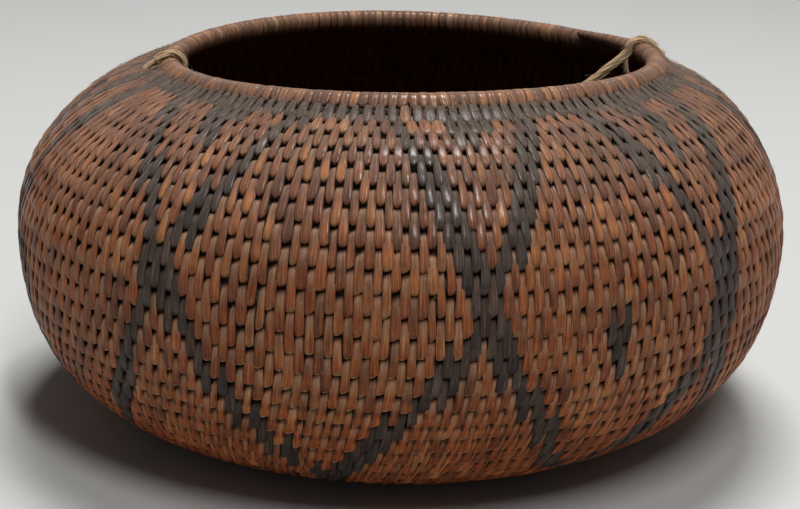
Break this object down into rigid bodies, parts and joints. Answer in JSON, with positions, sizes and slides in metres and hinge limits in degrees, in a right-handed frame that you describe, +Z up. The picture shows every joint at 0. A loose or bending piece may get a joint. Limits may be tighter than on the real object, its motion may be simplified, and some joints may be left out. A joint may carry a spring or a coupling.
{
  "type": "coiled basket",
  "caption": "Round bulging basket of stitched splint coils with a small base, a narrower lashed rim, two twine ties and a slack cord inside the mouth.",
  "frame": {"origin": "on the resting plane under the middle of the basket's outline", "axes": "+Z up through the mouth, -Y towards the viewer of the picture, +X to the viewer's right"},
  "size_m": [0.2449, 0.2451, 0.1245],
  "materials": {
    "natural_splint": "dry split plant splint, worn, with a low sheen",
    "black_splint": "dyed charcoal black splint, low sheen",
    "rim_splint": "reddish splint lashing, smoother from handling",
    "twine": "soft two-ply plant twine, fuzzy"
  },
  "bodies": {
    "root": {"start_knot": "natural_splint", "base_coil_01": "natural_splint", "base_coil_02": "natural_splint", "base_coil_03": "natural_splint", "base_coil_04": "natural_splint", "base_coil_05": "natural_splint", "base_coil_06": "natural_splint", "base_coil_07": "natural_splint", "base_coil_08": "natural_splint", "base_coil_09": "natural_splint", "base_coil_10": "natural_splint", "base_coil_11": "natural_splint", "base_coil_12": "natural_splint", "base_coil_13": "natural_splint", "wall_coil_01": "natural_splint", "wall_coil_02": "natural_splint", "wall_coil_03": "natural_splint", "wall_coil_04": "natural_splint", "wall_coil_05": "natural_splint", "wall_coil_06": "natural_splint", "wall_coil_07": "natural_splint", "wall_coil_08": "natural_splint", "wall_coil_09": "natural_splint", "wall_coil_10": "natural_splint", "wall_coil_11": "natural_splint", "wall_coil_12": "natural_splint", "wall_coil_13": "natural_splint", "wall_coil_14": "natural_splint", "wall_coil_15": "natural_splint", "wall_coil_16": "natural_splint", "wall_coil_17": "natural_splint", "wall_coil_18": "natural_splint", "wall_coil_19": "natural_splint", "wall_coil_20": "natural_splint", "wall_coil_21": "natural_splint", "wall_coil_22": "natural_splint", "wall_coil_23": "natural_splint", "wall_coil_24": "natural_splint", "wall_coil_25": "natural_splint", "wall_coil_26": "natural_splint", "wall_coil_27": "black_splint", "rim_coil": "rim_splint", "tie_right": "twine", "tie_left": "twine", "handle_cord": "twine"}
  },
  "joints": []
}
